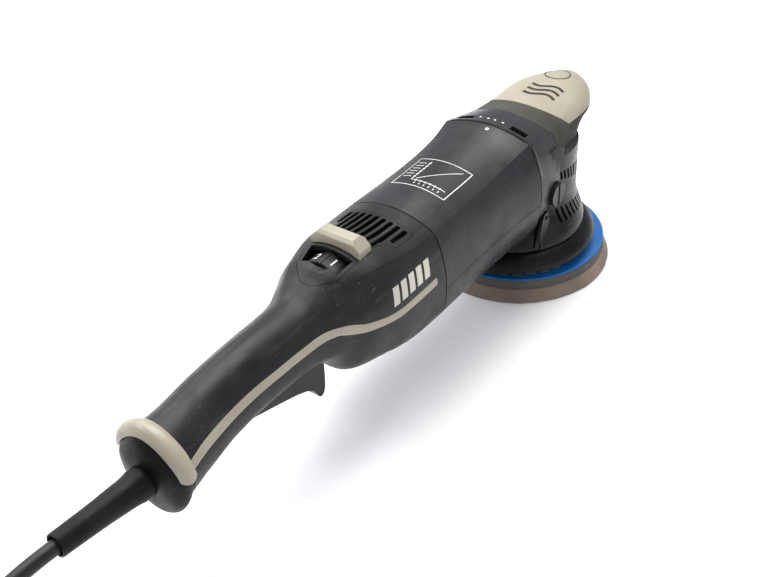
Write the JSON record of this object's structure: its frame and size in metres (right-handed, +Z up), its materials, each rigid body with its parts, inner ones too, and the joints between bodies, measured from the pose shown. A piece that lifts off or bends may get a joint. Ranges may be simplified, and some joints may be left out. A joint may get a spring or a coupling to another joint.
{
  "type": "dual action polisher",
  "caption": "Corded dual action polisher with a swollen motor body, slim grip, paddle trigger, speed dial, shrouded head and a foam pad on a blue backing plate.",
  "frame": {"origin": "where the main spindle's axis meets the pad's working face, which is also the plane of the surface that the pad rests on", "axes": "+X towards the nose and away from the cord, +Y to the left of someone holding the grip, +Z up along the spindle"},
  "size_m": [0.6986, 0.2055, 0.1273],
  "materials": {
    "graphite_shell": "satin moulded plastic",
    "handle_plastic": "satin moulded plastic",
    "neck_plastic": "satin moulded plastic",
    "dark_trim": "satin moulded plastic",
    "cream_plastic": "semi gloss moulded plastic",
    "grey_rubber": "matt soft rubber",
    "black_rubber": "matt soft rubber",
    "blue_plate": "semi gloss moulded plastic",
    "plate_foam": "open cell foam",
    "pad_foam": "open cell foam",
    "cord_jacket": "matt cable jacket",
    "steel": "turned and ground",
    "laminations": "stacked steel sheet",
    "dark_steel": "oiled steel",
    "cast_alloy": "die cast",
    "weight_metal": "as cast",
    "copper": "enamelled wire",
    "brass": "stamped",
    "carbon": "pressed carbon",
    "inner_plastic": "plain moulded plastic",
    "fan_plastic": "plain moulded plastic",
    "red_plastic": "plain moulded plastic",
    "capacitor_case": "moulded case",
    "board": "circuit board"
  },
  "bodies": {
    "housing": {"motor_housing": "graphite_shell", "gear_housing": "graphite_shell", "nose_grip": "grey_rubber", "nose_cap": "cream_plastic", "neck_housing": "neck_plastic", "side_plugs": "dark_trim", "shroud_skirt": "black_rubber", "shroud_ring": "dark_trim", "shroud_clips": "dark_trim", "handle_upper_shell": "handle_plastic", "handle_lower_shell": "handle_plastic", "trim_strips": "cream_plastic", "end_arch": "cream_plastic", "rear_bumper": "black_rubber", "vent_grille": "handle_plastic", "dial_bezel": "handle_plastic", "dial_guard": "cream_plastic", "stator_core": "laminations", "stator_windings": "copper", "brush_bridge": "inner_plastic", "brush_holders": "brass", "carbon_brushes": "carbon", "brush_springs": "steel", "motor_rear_bearing": "steel", "motor_front_bearing": "steel", "motor_flange": "cast_alloy", "spindle_upper_bearing": "steel", "spindle_lower_bearing": "steel", "switch_body": "inner_plastic", "speed_module": "board", "noise_capacitor": "capacitor_case", "cable_clamp": "inner_plastic", "gear_case_screws": "steel", "housing_screws": "steel", "handle_screws": "steel", "trigger_pin": "steel", "trigger_spring": "steel", "strain_relief": "black_rubber", "power_cord": "cord_jacket", "cord_coil": "cord_jacket", "plug": "black_rubber"},
    "rotor": {"armature_shaft": "steel", "armature_core": "laminations", "armature_windings": "copper", "commutator": "copper", "cooling_fan": "fan_plastic", "pinion": "dark_steel"},
    "spindle": {"spindle_shaft": "steel", "crown_gear": "dark_steel", "counterweight": "weight_metal", "pad_bearings": "steel", "bearing_clip": "dark_steel"},
    "pad": {"pad_spindle": "steel", "backing_plate": "blue_plate", "backing_foam": "plate_foam", "polishing_pad": "pad_foam", "pad_bolt": "dark_steel"},
    "trigger": {"paddle_trigger": "dark_trim"},
    "dial": {"speed_dial": "dark_trim"},
    "plunger": {"switch_plunger": "red_plastic"}
  },
  "joints": [
    {"name": "spindle_spin", "type": "hinge", "parent": "housing", "child": "spindle", "pos_m": [0, 0, 0], "axis": [0, 0, 1], "continuous": true},
    {"name": "rotor_spin", "type": "hinge", "parent": "housing", "child": "rotor", "pos_m": [0, 0, 0.079], "axis": [1, 0, 0], "continuous": true},
    {"name": "pad_spin", "type": "hinge", "parent": "spindle", "child": "pad", "pos_m": [0.0075, 0, 0], "axis": [0, 0, 1], "continuous": true},
    {"name": "trigger_press", "type": "hinge", "parent": "housing", "child": "trigger", "pos_m": [-0.2795, 0, 0.076], "axis": [0, -1, 0], "range_deg": [0, 8], "stiffness_Nm_per_rad": 0.4, "springref_deg": -5.73, "deforming": ["trigger_spring"]},
    {"name": "plunger_slide", "type": "slide", "parent": "housing", "child": "plunger", "axis": [0, 0, 1], "range_m": [0, 0.0045]},
    {"name": "dial_turn", "type": "hinge", "parent": "housing", "child": "dial", "pos_m": [-0.20097, 0, 0.1045], "axis": [1, 0, 0], "range_deg": [-26, 231]}
  ],
  "couplings": [
    {"joint": "rotor_spin", "follows": "spindle_spin", "ratio": -4},
    {"joint": "plunger_slide", "follows": "trigger_press", "m_per_rad": 0.03}
  ]
}
